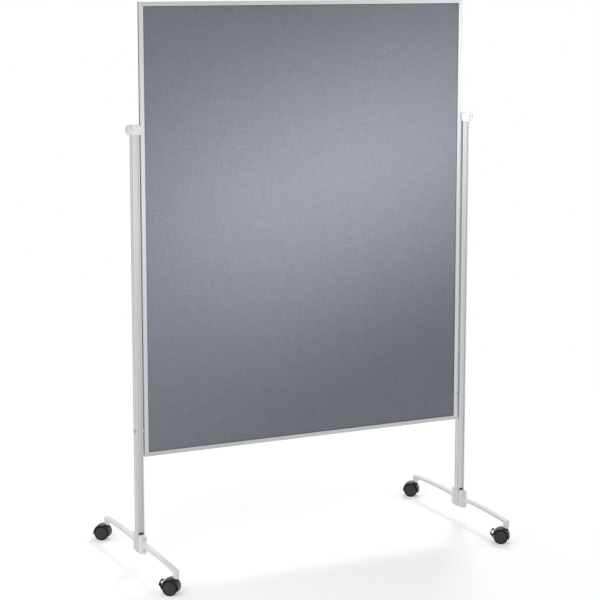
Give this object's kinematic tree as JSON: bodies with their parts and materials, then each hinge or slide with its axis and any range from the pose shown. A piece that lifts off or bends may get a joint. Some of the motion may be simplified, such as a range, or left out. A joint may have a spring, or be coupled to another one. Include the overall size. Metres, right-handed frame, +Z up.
{
  "type": "rolling partition",
  "caption": "Felt-covered pin board in a slim metal frame, held between two posts on arched feet with twin-wheel swivel casters and brake pedals; a movable room divider.",
  "frame": {"origin": "on the floor, midway between the two posts and in the plane of the board", "axes": "+X along the board to the right as seen from the front, +Y to the back, +Z up; the pictured side is the front, -Y"},
  "size_m": [1.316, 0.7117, 1.875],
  "materials": {
    "anodised_aluminium": "satin silver anodised extrusion",
    "felt": "needled blue-grey felt",
    "core_board": "raw soft fibreboard",
    "grey_casting": "light grey powder coat on a casting",
    "grey_plastic": "light grey moulding, fine grain",
    "steel": "zinc-plated turned steel",
    "zinc": "bright zinc-plated steel",
    "black_nylon": "black glass-filled nylon",
    "wheel": "dark grey nylon, darker tread"
  },
  "bodies": {
    "stand": {"board_core": "core_board", "felt_front": "felt", "felt_back": "felt", "top_rail": "anodised_aluminium", "bottom_rail": "anodised_aluminium", "left_rail": "anodised_aluminium", "right_rail": "anodised_aluminium", "top_left_corner_key": "zinc", "top_right_corner_key": "zinc", "bottom_left_corner_key": "zinc", "bottom_right_corner_key": "zinc", "left_post": "anodised_aluminium", "left_post_end_cap": "grey_plastic", "left_top_bracket": "grey_plastic", "left_stud_plate": "zinc", "left_lower_spacer": "grey_plastic", "left_lower_screw": "steel", "left_front_arm": "grey_casting", "left_rear_arm": "grey_casting", "left_foot_bolt_1": "steel", "left_foot_bolt_2": "steel", "right_post": "anodised_aluminium", "right_post_end_cap": "grey_plastic", "right_top_bracket": "grey_plastic", "right_stud_plate": "zinc", "right_lower_spacer": "grey_plastic", "right_lower_screw": "steel", "right_front_arm": "grey_casting", "right_rear_arm": "grey_casting", "right_foot_bolt_1": "steel", "right_foot_bolt_2": "steel", "front_left_caster_stem": "zinc", "front_right_caster_stem": "zinc", "rear_left_caster_stem": "zinc", "rear_right_caster_stem": "zinc"},
    "left_knob": {"left_clamp_knob": "grey_plastic", "left_clamp_stud": "steel"},
    "right_knob": {"right_clamp_knob": "grey_plastic", "right_clamp_stud": "steel"},
    "front_left_swivel": {"front_left_caster_housing": "black_nylon", "front_left_caster_axle": "steel"},
    "front_left_wheel_near": {"front_left_wheel_near": "wheel"},
    "front_left_wheel_far": {"front_left_wheel_far": "wheel"},
    "front_left_brake_pedal": {"front_left_brake_pedal": "black_nylon"},
    "front_right_swivel": {"front_right_caster_housing": "black_nylon", "front_right_caster_axle": "steel"},
    "front_right_wheel_near": {"front_right_wheel_near": "wheel"},
    "front_right_wheel_far": {"front_right_wheel_far": "wheel"},
    "front_right_brake_pedal": {"front_right_brake_pedal": "black_nylon"},
    "rear_left_swivel": {"rear_left_caster_housing": "black_nylon", "rear_left_caster_axle": "steel"},
    "rear_left_wheel_near": {"rear_left_wheel_near": "wheel"},
    "rear_left_wheel_far": {"rear_left_wheel_far": "wheel"},
    "rear_right_swivel": {"rear_right_caster_housing": "black_nylon", "rear_right_caster_axle": "steel"},
    "rear_right_wheel_near": {"rear_right_wheel_near": "wheel"},
    "rear_right_wheel_far": {"rear_right_wheel_far": "wheel"}
  },
  "joints": [
    {"name": "left_knob_turn", "type": "hinge", "parent": "stand", "child": "left_knob", "pos_m": [-0.6313, 0, 1.464], "axis": [-1, 0, 0], "range_deg": [0, 360]},
    {"name": "right_knob_turn", "type": "hinge", "parent": "stand", "child": "right_knob", "pos_m": [0.6313, 0, 1.464], "axis": [1, 0, 0], "range_deg": [0, 360]},
    {"name": "front_left_swivel_turn", "type": "hinge", "parent": "stand", "child": "front_left_swivel", "pos_m": [-0.6185, -0.322, 0.054], "axis": [0, 0, 1], "continuous": true},
    {"name": "front_left_wheel_near_roll", "type": "hinge", "parent": "front_left_swivel", "child": "front_left_wheel_near", "pos_m": [-0.63208, -0.31177, 0.025], "axis": [-0.6018, -0.7986, 0], "continuous": true},
    {"name": "front_left_wheel_far_roll", "type": "hinge", "parent": "front_left_swivel", "child": "front_left_wheel_far", "pos_m": [-0.63208, -0.31177, 0.025], "axis": [-0.6018, -0.7986, 0], "continuous": true},
    {"name": "front_left_brake_press", "type": "hinge", "parent": "front_left_swivel", "child": "front_left_brake_pedal", "pos_m": [-0.64805, -0.29973, 0.033], "axis": [-0.6018, -0.7986, 0], "range_deg": [0, 18]},
    {"name": "front_right_swivel_turn", "type": "hinge", "parent": "stand", "child": "front_right_swivel", "pos_m": [0.6185, -0.322, 0.054], "axis": [0, 0, 1], "continuous": true},
    {"name": "front_right_wheel_near_roll", "type": "hinge", "parent": "front_right_swivel", "child": "front_right_wheel_near", "pos_m": [0.60492, -0.31177, 0.025], "axis": [-0.6018, -0.7986, 0], "continuous": true},
    {"name": "front_right_wheel_far_roll", "type": "hinge", "parent": "front_right_swivel", "child": "front_right_wheel_far", "pos_m": [0.60492, -0.31177, 0.025], "axis": [-0.6018, -0.7986, 0], "continuous": true},
    {"name": "front_right_brake_press", "type": "hinge", "parent": "front_right_swivel", "child": "front_right_brake_pedal", "pos_m": [0.58895, -0.29973, 0.033], "axis": [-0.6018, -0.7986, 0], "range_deg": [0, 18]},
    {"name": "rear_left_swivel_turn", "type": "hinge", "parent": "stand", "child": "rear_left_swivel", "pos_m": [-0.6185, 0.322, 0.054], "axis": [0, 0, 1], "continuous": true},
    {"name": "rear_left_wheel_near_roll", "type": "hinge", "parent": "rear_left_swivel", "child": "rear_left_wheel_near", "pos_m": [-0.63208, 0.33223, 0.025], "axis": [-0.6018, -0.7986, 0], "continuous": true},
    {"name": "rear_left_wheel_far_roll", "type": "hinge", "parent": "rear_left_swivel", "child": "rear_left_wheel_far", "pos_m": [-0.63208, 0.33223, 0.025], "axis": [-0.6018, -0.7986, 0], "continuous": true},
    {"name": "rear_right_swivel_turn", "type": "hinge", "parent": "stand", "child": "rear_right_swivel", "pos_m": [0.6185, 0.322, 0.054], "axis": [0, 0, 1], "continuous": true},
    {"name": "rear_right_wheel_near_roll", "type": "hinge", "parent": "rear_right_swivel", "child": "rear_right_wheel_near", "pos_m": [0.60492, 0.33223, 0.025], "axis": [-0.6018, -0.7986, 0], "continuous": true},
    {"name": "rear_right_wheel_far_roll", "type": "hinge", "parent": "rear_right_swivel", "child": "rear_right_wheel_far", "pos_m": [0.60492, 0.33223, 0.025], "axis": [-0.6018, -0.7986, 0], "continuous": true}
  ]
}
